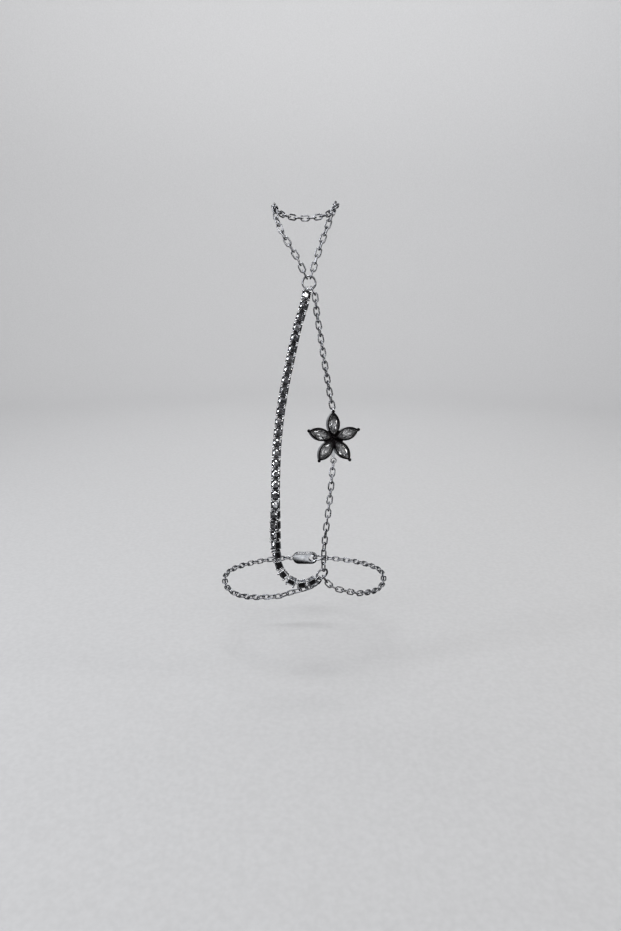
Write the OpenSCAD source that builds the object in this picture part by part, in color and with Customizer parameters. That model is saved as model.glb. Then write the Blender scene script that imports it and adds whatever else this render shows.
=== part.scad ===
// Hand chain bracelet in millimetres: a wrist chain and a finger chain joined by two strands
// over the back of the hand. +Z runs from the wrist to the fingers, -Y faces away from the hand,
// and the origin is the middle of the loop that goes round the wrist.

/* [Chain links] */
// Length of a link over its wire
link_l = 3.15; // [2.9:0.05:3.4]
// Width of a link over its wire
link_w = 1.95; // [1.8:0.05:2.2]
// Diameter of a link's wire
wire_d = 0.44; // [0.4:0.01:0.5]
// Room left between two pieces that hold each other
play = 0.1; // [0.1:0.01:0.14]
// Room between a chain's end link and the ring or eye that it holds
hook_play = 0.15; // [0.12:0.01:0.2]

/* [Jump rings] */
// Outer diameter of the rings that gather the strands
ring_d = 4.35; // [4.1:0.05:4.8]
// Diameter of their wire
ring_wire = 0.6; // [0.5:0.05:0.65]

/* [Stone chain] */
// Length of one box setting along the chain
box_l = 2.5; // [2.4:0.05:2.6]
// Width of a box setting
box_w = 2.6; // [2.55:0.05:2.9]
// Height of the box without its prongs
box_h = 1.9; // [1.9:0.05:2.2]
// Distance from one box to the next
box_gap = 0.65; // [0.55:0.05:0.75]
// How far the plate under a stone reaches past each end of its box
box_reach = 0.13; // [0.05:0.01:0.15]
// Thickness of the thin wall that closes each side of a box
side_wall = 0.12; // [0.1:0.01:0.16]
// Width of the loop between two boxes
loop_w = 0.45; // [0.35:0.05:0.5]
// Thickness of the rails of a box
rail = 0.3; // [0.26:0.01:0.32]
// Diameter of a corner prong
prong_d = 0.5; // [0.46:0.02:0.54]
// How far a prong stands above the box
prong_rise = 0.25; // [0.2:0.05:0.35]
// Diameter of a round stone
stone_d = 2.15; // [2:0.05:2.2]
// Room between a stone and its metal
stone_room = 0.11; // [0.1:0.01:0.12]

/* [Flower] */
// Length of the opening of a petal
petal_l = 6.2; // [5.6:0.1:6.4]
// Width of the opening of a petal
petal_w = 3; // [2.7:0.1:3.2]
// Distance from the flower's middle to the opening of a petal
petal_start = 1.2; // [1.1:0.1:1.5]
// Thickness of a petal's wall
petal_wall = 0.42; // [0.36:0.02:0.5]
// Depth of the petals' walls
petal_h = 2.2; // [2:0.1:2.6]
// Diameter of the ball at a petal's tip
tip_d = 1; // [0.8:0.1:1.2]
// Radius of the plate that joins the petals
hub_r = 2.9; // [2.5:0.1:3.2]
// Wire of the flower's two eyes
eye_wire = 0.45; // [0.4:0.01:0.5]
// Outer diameter of the flower's two eyes
eye_d = 2; // [1.8:0.05:2.1]
// How far the lower eye lies inside the circle of the petals' tips
eye_inset = 1.4; // [1.2:0.1:1.6]
// Height of the petal stones above and below their girdle
petal_crown = 0.55; // [0.45:0.05:0.6]
petal_pavilion = 0.75; // [0.6:0.05:0.8]

/* [Clasp] */
// Length of the clasp's plate
clasp_l = 9; // [8:0.5:10]
// Width of the clasp's plate
clasp_w = 4.4; // [4.2:0.2:5]
// Thickness of the clasp's plate
clasp_t = 1.6; // [1.4:0.1:1.7]
// Hole at the clasp's closed end
clasp_hole = 2.3; // [2.2:0.1:2.6]
// Wall beyond that hole
clasp_rim = 0.8; // [0.7:0.05:0.85]

/* [Hidden] */
round_fn = 48;
wire_fn = 24;
// Samples between two points of a route
SAMPLES = 10;

// Places and turns of the rings, the flower and the clasp. Turn is to the right, lean is back.
upper_ring_at = [1.1, -10.9, 95];
upper_ring_turn = 4;
upper_ring_lean = 4;
lower_ring_at = [5, -21.1, 8.8];
lower_ring_turn = 32;
lower_ring_lean = -17;
flower_at = [8.1, -14.5, 49.8];
flower_turn = 13;
flower_lean = 12;
flower_roll = -1.2;
clasp_at = [-0.5, 21.2, -3.4];
// Upright lines that the wrist and the finger lie round
wrist_axis = [0, 0];
finger_axis = [0, 1.2];

// Where each strand hooks on a ring, as the angle round the ring from its right side
finger_left_hook = 117;
finger_right_hook = 72;
tennis_upper_hook = 254;
side_upper_hook = 298;
side_lower_hook = 84;
tennis_lower_hook = 203;
wrist_left_hook = 259;
wrist_right_hook = 302;

// Chosen points of each strand between its two ends
finger_route = [
    [-0.9, -10.9, 99], [-2.6, -10.6, 102.5], [-4.5, -10.4, 105.4], [-6.4, -10.1, 108.5],
    [-8.1, -9.4, 112.3], [-8.7, -7.4, 115], [-9, -3.6, 116.6], [-9, 1, 116.3],
    [-7.8, 5.6, 115.3], [-4.6, 8.8, 114.5], [0, 10, 114.2], [4.6, 8.8, 114.6],
    [7.8, 5.6, 115.6], [9, 1, 116.8], [8.9, -3.6, 117.1], [8.3, -7.4, 115.8],
    [7.4, -9.4, 113.4], [6.2, -9.9, 110.2], [4.9, -10.2, 106.8], [3.8, -10.5, 103.6],
    [2.6, -10.8, 99.9]
];
tennis_route = [
    [-0.4, -11.9, 88.6], [-2.3, -12.2, 82.6], [-4.3, -12.9, 73.8], [-6.3, -13.6, 64.3],
    [-7.7, -14.8, 55.5], [-8.5, -15.8, 47.6], [-8.9, -17.4, 39.2], [-9, -18.7, 31.6],
    [-8.9, -19.6, 22.3], [-8.6, -20.3, 16.4], [-7.9, -20.9, 12.4], [-6.8, -21.5, 9.7],
    [-4.8, -22.2, 7.6], [-2, -22.7, 6.5], [1, -22.5, 6.8]
];
side_upper_route = [
    [2.9, -11.3, 91.3], [3.2, -11.6, 87.5], [4.4, -12, 80], [5.7, -12.7, 72], [7.1, -13.3, 64]
];
side_lower_route = [
    [8, -17.2, 40.3], [7.7, -18.1, 36.1], [6.8, -19.4, 27.9], [6.1, -20.2, 22.1],
    [5.6, -20.7, 16.8]
];
wrist_left_route = [
    [3.4, -19.9, 5.2], [2, -19.5, 4], [0.1, -19.4, 3.2], [-2.3, -19.8, 2.7], [-4.9, -20.3, 2.2],
    [-7.9, -20.6, 1.2], [-12.7, -18.6, -0.1], [-17.8, -15.1, -1.8], [-22.4, -10.8, -2.9],
    [-25.6, -7, -2.7], [-27.2, -2.6, -2.1], [-27.4, 1.6, -1.6], [-25.8, 6.4, -1.6],
    [-21.4, 12.8, -2.4], [-14, 18.6, -3.1]
];
wrist_right_route = [
    [7.2, -20, 4.8], [9.9, -19.6, 3.1], [13.3, -18.3, 1.7], [16.6, -16.1, 0], [18.9, -14, -0.8],
    [22.4, -9.4, -2.3], [24.8, -5.4, -2.7], [26.2, -1, -2.2], [26.2, 2.6, -1.5], [24.9, 6.6, -1.4],
    [21.2, 12.6, -2.2], [14.4, 18.4, -3.1]
];

// Turn of the stone chain about its own run: share of its length, then degrees
tennis_turns = [
    [0, 0], [0.66, 0], [0.84, 72], [0.92, 90], [1, 90]
];

// Vectors and places
function unit(v) = v / norm(v);
function across(out, dir) = unit(out - (out * dir) * dir);
function tip_x(v, a) = [v.x, v.y * cos(a) - v.z * sin(a), v.y * sin(a) + v.z * cos(a)];
function turn_z(v, a) = [v.x * cos(a) - v.y * sin(a), v.x * sin(a) + v.y * cos(a), v.z];
function faced(v, turn, lean) = turn_z(tip_x(v, 90 - lean), turn);
function rolled(n, dir, a) = cos(a) * n + sin(a) * cross(dir, n);

// Points on the rings and the flower that strands hook on
ring_r = (ring_d - ring_wire) / 2;
eye_r = (eye_d - eye_wire) / 2;
function on_ring(at, turn, lean, a) = at + faced([ring_r * cos(a), ring_r * sin(a), 0], turn, lean);
function wire_way(turn, lean, a) = faced([-sin(a), cos(a), 0], turn, lean);
function on_upper(a) = on_ring(upper_ring_at, upper_ring_turn, upper_ring_lean, a);
function on_lower(a) = on_ring(lower_ring_at, lower_ring_turn, lower_ring_lean, a);
function upper_way(a) = wire_way(upper_ring_turn, upper_ring_lean, a);
function lower_way(a) = wire_way(lower_ring_turn, lower_ring_lean, a);
function flower_way(v) = faced(turn_z(v, flower_roll), flower_turn, flower_lean);
function on_flower(v) = flower_at + flower_way(v);

// Flower's geometry: each petal is where two circles overlap
petal_mid = petal_start + petal_l / 2;
petal_r = (pow(petal_l / 2, 2) + pow(petal_w / 2, 2)) / petal_w;
petal_off = petal_r - petal_w / 2;
petal_tip = petal_mid + sqrt(pow(petal_r + petal_wall, 2) - pow(petal_off, 2));
tip_at = petal_tip + tip_d / 10;
upper_eye_at = petal_tip + wire_d / 2 + play + eye_wire / 2;
upper_eye_z = eye_d / 2;
lower_eye_at = petal_tip - eye_inset;
lower_eye_z = eye_wire;

// Clasp's geometry
clasp_eye_x = -clasp_l / 2 - eye_r + eye_wire / 4;
clasp_hole_x = clasp_l / 2 - clasp_rim - clasp_hole / 2;
clasp_ring_x = clasp_l / 2 - clasp_rim + ring_r - ring_wire / 2 - 4 * play;

// Whole routes, from the wire that one end hooks on to the wire at the other end
finger_path = smooth([on_upper(finger_left_hook), each finger_route, on_upper(finger_right_hook)]);
tennis_path = smooth([on_upper(tennis_upper_hook), each tennis_route, on_lower(tennis_lower_hook)]);
side_upper_path = smooth([
    on_upper(side_upper_hook), each side_upper_route,
    on_flower([0, upper_eye_at + eye_r, upper_eye_z])
]);
side_lower_path = smooth([
    on_flower([0, -lower_eye_at - eye_r, lower_eye_z]), each side_lower_route,
    on_lower(side_lower_hook)
]);
wrist_left_path = smooth([
    on_lower(wrist_left_hook), each wrist_left_route, clasp_at + [clasp_eye_x - eye_r, 0, 0]
]);
wrist_right_path = smooth([
    on_lower(wrist_right_hook), each wrist_right_route, clasp_at + [clasp_ring_x + ring_r, 0, 0]
]);

// Smooth curve through the points of a route, and places at a distance along it
function spline(p, i, t) = let (
    a = p[max(i - 1, 0)], b = p[i], c = p[i + 1], d = p[min(i + 2, len(p) - 1)]
) 0.5 * (2 * b + (c - a) * t + (2 * a - 5 * b + 4 * c - d) * pow(t, 2)
    + (3 * b - a - 3 * c + d) * pow(t, 3));
function smooth(p) = [
    for (i = [0:len(p) - 2], k = [0:SAMPLES - 1]) spline(p, i, k / SAMPLES), p[len(p) - 1]
];
function distances(path) = [
    for (i = 0, s = 0; i < len(path); s = s + norm(path[min(i + 1, len(path) - 1)] - path[i]), i = i + 1) s
];
function last(list) = list[len(list) - 1];
function at(path, runs, s) = let (
    k = max(0, min(len(path) - 2, len([for (r = runs) if (r <= s) 1]) - 1))
) path[k] + (path[k + 1] - path[k]) * (s - runs[k]) / (runs[k + 1] - runs[k]);

// Puts what follows at a point, with its X along dir and its Z towards out
module aim(point, dir, out) {
    side = cross(out, dir);
    multmatrix([
        [dir.x, side.x, out.x, point.x],
        [dir.y, side.y, out.y, point.y],
        [dir.z, side.z, out.z, point.z]
    ]) children();
}

module torus(d, wire) {
    rotate_extrude($fn = round_fn) translate([(d - wire) / 2, 0]) circle(d = wire, $fn = wire_fn);
}

module face_out(point, turn, lean) {
    translate(point) rotate([90 - lean, 0, turn]) children();
}

// One oval link, lying flat, with its length along X
module link() {
    bend_r = (link_w - wire_d) / 2;
    straight = link_l - link_w;
    for (side = [0, 1]) rotate([0, 0, 180 * side]) {
        translate([straight / 2, 0, 0]) rotate([0, 0, -90]) rotate_extrude(angle = 180, $fn = round_fn)
            translate([bend_r, 0]) circle(d = wire_d, $fn = wire_fn);
        translate([-straight / 2, bend_r, 0]) rotate([0, 90, 0])
            cylinder(d = wire_d, h = straight, $fn = wire_fn);
    }
}

// Turn that sets a link across the wire it hooks on, as far as that lies from its usual turn
function hook_drift(way, dir, out, usual) = let (
    n = across(way, dir),
    a = atan2(n * cross(dir, out), n * out) - usual
) a - 180 * round(a / 180);
function outward(point, axis, dir) = across([point.x - axis.x, point.y - axis.y, 0], dir);

// Chain along a path, each link a quarter turn on from the one before. At both ends the links
// drift round to stand across the wire that they hook on, whose thickness and way are given.
// odd is 1 where both ends hook the same way round and 0 where they don't.
module chain(path, axis, first_wire, first_way, last_wire, last_way, odd) {
    runs = distances(path);
    first_reach = link_l / 2 - wire_d - first_wire / 2 - hook_play;
    last_reach = link_l / 2 - wire_d - last_wire / 2 - hook_play;
    full = last(runs) - first_reach - last_reach;
    pitch = link_l - 2 * wire_d - play;
    count = 2 * ceil((full / pitch + 1 - odd) / 2) + odd;
    step = full / (count - 1);
    first_dir = unit(at(path, runs, first_reach + step / 2) - path[0]);
    last_dir = unit(last(path) - at(path, runs, last(runs) - last_reach - step / 2));
    first_drift = hook_drift(first_way, first_dir, outward(path[0], axis, first_dir), 90);
    last_drift = hook_drift(last_way, last_dir, outward(last(path), axis, last_dir), 90 * count);
    for (i = [0:count - 1]) {
        s = first_reach + i * step;
        start = i == 0 ? path[0] : at(path, runs, s - step / 2);
        end = i == count - 1 ? last(path) : at(path, runs, s + step / 2);
        dir = unit(end - start);
        middle = i == 0 ? start + dir * first_reach
            : i == count - 1 ? end - dir * last_reach
            : (start + end) / 2;
        share = i / (count - 1);
        drift = first_drift * pow(1 - share, 2) + last_drift * pow(share, 2);
        aim(middle, dir, rolled(outward(middle, axis, dir), dir, 90 * (i + 1) + drift)) link();
    }
}

module finger_chain() {
    color("silver") chain(finger_path, finger_axis, ring_wire, upper_way(finger_left_hook),
        ring_wire, upper_way(finger_right_hook), 1);
}

module side_chain_upper() {
    color("silver") chain(side_upper_path, wrist_axis, ring_wire, upper_way(side_upper_hook),
        eye_wire, flower_way([0, 0, 1]), 0);
}

module side_chain_lower() {
    color("silver") chain(side_lower_path, wrist_axis, eye_wire, flower_way([1, 0, 0]),
        ring_wire, lower_way(side_lower_hook), 0);
}

module wrist_chain_left() {
    color("silver") chain(wrist_left_path, wrist_axis, ring_wire, lower_way(wrist_left_hook),
        eye_wire, [0, 0, 1], 1);
}

module wrist_chain_right() {
    color("silver") chain(wrist_right_path, wrist_axis, ring_wire, lower_way(wrist_right_hook),
        ring_wire, [0, 1, 0], 0);
}

module upper_ring() {
    color("silver") face_out(upper_ring_at, upper_ring_turn, upper_ring_lean) torus(ring_d, ring_wire);
}

module lower_ring() {
    color("silver") face_out(lower_ring_at, lower_ring_turn, lower_ring_lean) torus(ring_d, ring_wire);
}

// One box: a basket open at both ends, four prongs, and a soldered loop that holds the next box.
// Its length runs along X, its stone faces Z and its bottom lies at Z = 0.
bar_z = 1.7 * play + rail;
loop_h = 2 * bar_z + rail;
frame_t = 0.5;
box_taper = 0.15;
box_corner = 0.9;
overlap = 0.1;
seat_z = box_h - frame_t;
prong_at = (box_w - prong_d) / 2;
prong_x = (box_l - prong_d) / 2;
ball_d = prong_d + 0.1;

// Shares of a stone's width that its crown and its pavilion are high, and of its half width
// that its girdle is thick on each side
CROWN = 0.16;
PAVILION = 0.43;
EDGE = 0.03;
girdle_z = box_h - 0.02;

// The hole is straight beside the stone's girdle and follows its pavilion below
module stone_seat() {
    hole_r = stone_d / 2 + stone_room;
    slope = 2 * PAVILION;
    spread = stone_room * sqrt(1 + 1 / pow(slope, 2));
    low_z = girdle_z - EDGE * stone_d / 2;
    low_r = stone_d / 2 - (low_z - seat_z) / slope + spread;
    turn_z = low_z - (stone_d / 2 + spread - hole_r) * slope;
    translate([0, 0, turn_z]) cylinder(r = hole_r, h = box_h, $fn = round_fn);
    translate([0, 0, seat_z - 0.01])
        cylinder(r1 = low_r, r2 = hole_r, h = turn_z - seat_z + 0.02, $fn = round_fn);
}

// Plan of the box, whose corners a circle cuts, with its ends moved out
module box_plan(reach) {
    intersection() {
        square([box_l + 2 * reach, box_w], center = true);
        circle(d = box_w + box_corner, $fn = round_fn);
    }
}

// Side view of the box, whose ends draw in below its bars
module box_side() {
    rotate([90, 0, 0]) translate([0, 0, -box_w]) linear_extrude(2 * box_w) polygon([
        [box_taper - box_l / 2, 0], [box_l / 2 - box_taper, 0], [box_l / 2, bar_z],
        [box_l / 2, box_h], [-box_l / 2, box_h], [-box_l / 2, bar_z]
    ]);
}

// The posts and the rails along the bottom
module basket() {
    difference() {
        intersection() {
            linear_extrude(seat_z + overlap) box_plan(0);
            box_side();
        }
        translate([-box_l / 2 + rail, -box_w / 2 + rail, -1])
            cube([box_l - 2 * rail, box_w - 2 * rail, seat_z + 1]);
        translate([-box_l, -box_w / 2 + prong_d, -1]) cube([2 * box_l, box_w - 2 * prong_d, 1 + seat_z]);
        translate([-box_l / 2 + prong_d, -box_w, rail])
            cube([box_l - 2 * prong_d, 2 * box_w, seat_z - rail]);
    }
    for (x = [-bar_x, bar_x]) translate([x, box_w / 2 - rail, bar_z + rail / 2]) rotate([90, 0, 0])
        cylinder(d = rail, h = box_w - 2 * rail, $fn = wire_fn);
}

// The walls lie behind the posts, so that each side shows a sunk window
module side_walls() {
    outer = box_w / 2 - rail + side_wall / 3;
    for (y = [-outer, outer - side_wall]) translate([-prong_x, y, rail - overlap])
        cube([2 * prong_x, side_wall, seat_z - rail + 2 * overlap]);
}

module box_frame() {
    difference() {
        union() {
            basket();
            side_walls();
            translate([0, 0, seat_z]) linear_extrude(frame_t) box_plan(box_reach);
        }
        stone_seat();
    }
}

module prongs() {
    top = box_h + prong_rise;
    for (x = [-1, 1], y = [-prong_at, prong_at]) {
        translate([x * prong_x, y, bar_z])
            cylinder(d = prong_d, h = seat_z + overlap - bar_z, $fn = wire_fn);
        translate([x * (prong_x + box_reach), y, seat_z + overlap]) {
            cylinder(d = prong_d, h = top - seat_z - overlap, $fn = wire_fn);
            translate([0, 0, top - seat_z - overlap]) sphere(d = ball_d, $fn = wire_fn);
        }
    }
}

// The loop stands on edge: it starts on this box's end bar and goes round the bar of the next one
module box_loop(pitch) {
    start = box_l / 2 - rail / 2;
    end = pitch - bar_x + loop_h / 2;
    inner_h = loop_h - 2 * rail;
    translate([0, loop_w / 2, 0]) rotate([90, 0, 0]) linear_extrude(loop_w) difference() {
        union() {
            translate([start, 0]) square([end - start - loop_h / 2, loop_h]);
            translate([end - loop_h / 2, loop_h / 2]) circle(d = loop_h, $fn = round_fn);
        }
        translate([box_l / 2 + rail / 2, rail])
            square([end - box_l / 2 - rail / 2 - loop_h / 2, inner_h]);
        translate([end - loop_h / 2, loop_h / 2]) circle(d = inner_h, $fn = round_fn);
    }
}

// An eye at the first and last box, round the wire of a jump ring: on edge or flat
end_eye_d = ring_wire + 4 * play + 2 * rail;
module end_eye(side, turn) {
    translate([side * (box_l / 2 + end_eye_d / 2 - rail / 3), 0, bar_z + rail / 2]) rotate([turn, 0, 0])
        torus(end_eye_d, rail);
}

// The boxes turn about the bars at their backs, which lie one pitch apart along the path
end_reach = box_l / 2 + end_eye_d / 2 - rail / 3;
bar_x = (box_l - rail) / 2;
tennis_runs = distances(tennis_path);
tennis_full = last(tennis_runs) - 2 * end_reach;
tennis_count = round(tennis_full / (box_l + box_gap)) + 1;
tennis_bars = [
    for (i = [0:tennis_count - 1]) at(tennis_path, tennis_runs,
        end_reach - bar_x + i * tennis_full / (tennis_count - 1)),
    last(tennis_path)
];

// Places what follows at every box, with $box its number and $pitch its way to the next bar
module along_tennis() {
    for (i = [0:tennis_count - 1]) {
        first = i == 0;
        final = i == tennis_count - 1;
        dir = unit(tennis_bars[i + 1] - (first ? tennis_path[0] : tennis_bars[i]));
        middle = first ? tennis_path[0] + dir * end_reach
            : final ? last(tennis_path) - dir * end_reach
            : tennis_bars[i] + dir * bar_x;
        out = rolled(across([0, -1, 0], dir), dir, lookup(i / (tennis_count - 1), tennis_turns));
        $box = i;
        $pitch = norm(tennis_bars[i + 1] - middle) + bar_x;
        aim(middle, dir, out) translate([0, 0, -bar_z - rail / 2]) children();
    }
}

module tennis_settings() {
    color("silver") along_tennis() {
        box_frame();
        prongs();
        if ($box < tennis_count - 1) box_loop($pitch);
        if ($box == 0) end_eye(-1, 90);
        if ($box == tennis_count - 1) end_eye(1, 0);
    }
}

module tennis_stones() {
    color("white") along_tennis() translate([0, 0, girdle_z])
        gem(stone_d / 2, stone_d / 2, CROWN * stone_d, PAVILION * stone_d, 0);
}

// A cut stone with its girdle at Z = 0: a flat table of eight sides, stars, kites and halves
// above, mains and halves below. Pointed 1 gives it a tip at both ends of X.
GEM_SIDES = 16;
function girdle(a, half_l, half_w, pointed) = let (
    r = (pow(half_l, 2) + pow(half_w, 2)) / (2 * half_w),
    x = half_l * cos(a)
) pointed == 0 ? [half_l * cos(a), half_w * sin(a)]
    : [x, sign(round(sin(a) * 1000)) * (sqrt(pow(r, 2) - pow(x, 2)) - r + half_w)];
module gem(half_l, half_w, crown, pavilion, pointed) {
    table = 0.56;
    corner = 0.8;
    low = 0.24;
    edge = EDGE * half_w;
    step = 360 / GEM_SIDES;
    crown_corner = crown * (1 - corner * cos(step)) / (1 - table);
    low_corner = pavilion * (1 - low * cos(step));
    function ring(share, shift, z) = [
        for (k = [0:GEM_SIDES / 2 - 1]) let (g = girdle(2 * step * k + shift, half_l, half_w, pointed))
            [share * g.x, share * g.y, z]
    ];
    rim = [for (j = [0:GEM_SIDES - 1]) girdle(step * j, half_l, half_w, pointed)];
    points = [
        each ring(table, 0, edge + crown), each ring(corner, step, edge + crown_corner),
        for (g = rim) [g.x, g.y, edge], for (g = rim) [g.x, g.y, -edge],
        each ring(low, step, -edge - low_corner), [0, 0, -edge - pavilion]
    ];
    T = 0;
    C = 8;
    R = 16;
    B = 32;
    L = 48;
    P = 56;
    faces = [
        [for (k = [7:-1:0]) T + k],
        for (k = [0:7]) let (n = (k + 1) % 8, g = (2 * k + 2) % 16) each [
            [T + k, T + n, C + k],
            [T + n, C + n, C + k], [C + k, C + n, R + g],
            [C + k, R + g, R + 2 * k + 1], [C + k, R + 2 * k + 1, R + 2 * k],
            [L + k, B + 2 * k, B + 2 * k + 1], [L + k, B + 2 * k + 1, B + g],
            [L + k, B + g, L + n], [L + k, L + n, P]
        ],
        for (j = [0:15]) let (n = (j + 1) % 16) each [[R + j, R + n, B + n], [R + j, B + n, B + j]]
    ];
    polyhedron(points = points, faces = faces);
}

// Flat outline of a petal about its own middle, grown by a given amount
module petal_outline(grow) {
    intersection() {
        translate([0, petal_off]) circle(r = petal_r + grow, $fn = 2 * round_fn);
        translate([0, -petal_off]) circle(r = petal_r + grow, $fn = 2 * round_fn);
    }
}

PETALS = 5;
module at_petal(k) {
    face_out(flower_at, flower_turn, flower_lean) rotate([0, 0, flower_roll + 90 + 360 / PETALS * (k - 1)])
        translate([petal_mid, 0, 0]) children();
}

// The stone's girdle lies this far below the rim, and its pocket ends on a ledge. The plate that
// joins the petals starts above their back and ends below their rim.
girdle_drop = 0.5;
pocket_h = 0.9;
ledge = 0.3;
hub_low = 0.3;
tab_w = 2;
tab_end = 0.6;
hub_drop = 0.2;
tip_rise = 0.1;

module petal_cup(k) {
    at_petal(k) {
        linear_extrude(petal_h) petal_outline(petal_wall);
        translate([tip_at - petal_mid, 0, petal_h - tip_d / 2 + tip_rise]) sphere(d = tip_d, $fn = wire_fn);
    }
}

module petal_hole(k) {
    at_petal(k) {
        translate([0, 0, -1]) linear_extrude(petal_h + 2) petal_outline(-ledge);
        translate([0, 0, petal_h - girdle_drop - pocket_h]) linear_extrude(petal_h) petal_outline(0);
    }
}

module flower_setting() {
    color("dimgray") {
        difference() {
            union() {
                for (k = [1:PETALS]) petal_cup(k);
                face_out(flower_at, flower_turn, flower_lean) translate([0, 0, hub_low])
                    cylinder(r = hub_r, h = petal_h - hub_low - hub_drop, $fn = 2 * round_fn);
            }
            for (k = [1:PETALS]) petal_hole(k);
        }
        face_out(flower_at, flower_turn, flower_lean) rotate([0, 0, flower_roll]) {
            translate([0, upper_eye_at, upper_eye_z]) rotate([0, 90, 0]) torus(eye_d, eye_wire);
            translate([0, -lower_eye_at, lower_eye_z]) torus(eye_d, eye_wire);
            translate([0, 0, lower_eye_z - eye_wire / 2]) linear_extrude(eye_wire) hull() {
                translate([0, -hub_r + overlap]) square([tab_w, overlap], center = true);
                translate([0, -lower_eye_at + eye_r]) square([tab_end, overlap], center = true);
            }
        }
    }
}

module petal_stone(k) {
    color("white") at_petal(k) translate([0, 0, petal_h - girdle_drop])
        gem(petal_l / 2 - 2 * stone_room, petal_w / 2 - 1.4 * stone_room, petal_crown, petal_pavilion, 1);
}

// The clasp is a plain plate with an eye for one end of the chain and a hole for the ring
module clasp() {
    color("silver") translate(clasp_at) {
        rotate([90, 0, 0]) translate([0, 0, -clasp_t / 2]) linear_extrude(clasp_t) difference() {
            union() {
                square([clasp_l - clasp_w, clasp_w], center = true);
                for (x = [-1, 1]) translate([x * (clasp_l - clasp_w) / 2, 0])
                    circle(d = clasp_w, $fn = round_fn);
            }
            translate([clasp_hole_x, 0]) circle(d = clasp_hole, $fn = round_fn);
        }
        translate([clasp_eye_x, 0, 0]) rotate([90, 0, 0]) torus(eye_d, eye_wire);
    }
}

module clasp_ring() {
    color("silver") translate(clasp_at + [clasp_ring_x, 0, 0]) torus(ring_d, ring_wire);
}

finger_chain();
upper_ring();
tennis_settings();
tennis_stones();
side_chain_upper();
flower_setting();
petal_stone(1);  // petal_stone_1
petal_stone(2);  // petal_stone_2
petal_stone(3);  // petal_stone_3
petal_stone(4);  // petal_stone_4
petal_stone(5);  // petal_stone_5
side_chain_lower();
lower_ring();
wrist_chain_left();
wrist_chain_right();
clasp();
clasp_ring();
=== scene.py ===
import logging
import math
import random
from dataclasses import dataclass, field
from enum import Enum
from functools import partial
from typing import Sequence

import bpy
import numpy as np
from mathutils import Matrix, Vector


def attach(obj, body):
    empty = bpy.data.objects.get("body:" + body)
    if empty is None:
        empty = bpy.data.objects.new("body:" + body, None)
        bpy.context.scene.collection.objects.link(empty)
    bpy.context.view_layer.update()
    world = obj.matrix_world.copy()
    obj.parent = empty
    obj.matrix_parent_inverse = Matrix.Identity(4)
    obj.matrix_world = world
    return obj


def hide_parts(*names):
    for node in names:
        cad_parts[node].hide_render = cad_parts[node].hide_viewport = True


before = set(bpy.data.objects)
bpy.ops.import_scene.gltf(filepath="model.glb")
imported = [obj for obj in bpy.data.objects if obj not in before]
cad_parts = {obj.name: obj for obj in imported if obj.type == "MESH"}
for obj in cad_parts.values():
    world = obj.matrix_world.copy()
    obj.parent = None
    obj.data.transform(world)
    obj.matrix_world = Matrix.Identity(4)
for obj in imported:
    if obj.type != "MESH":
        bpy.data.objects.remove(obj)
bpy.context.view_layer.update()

MM = 0.001
LOG = logging.getLogger("hand_chain")
# Edges that bend less than this many degrees are shaded smooth where a piece has no angle of its own
SMOOTH_BELOW = 35.0
# A face looks away from a direction where the cosine between the two is this or less
AWAY = -0.3
# Rays with which a finish looks for the corners that it paints shade into
CORNER_RAYS = 8

Flat = list[tuple[float, float]]
Point = tuple[float, float, float]
Loop = list[Point]


class Finish(Enum):
    """The finishes of the pieces."""

    METAL = "polished_silver"
    FLOWER = "coated_flower"
    ROUND_STONE = "round_stone"
    PETAL_STONE = "petal_stone"
    # Painted shade in and between the boxes
    PAINTED_SHADE = "painted_shade_fill"
    FOIL = "silver_foil"
    # Painted reflection: stone facets painted dark
    PAINTED_DARK_FACET = "painted_dark_facet"


Palette = dict[Finish, bpy.types.Material]

# Shapes


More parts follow.
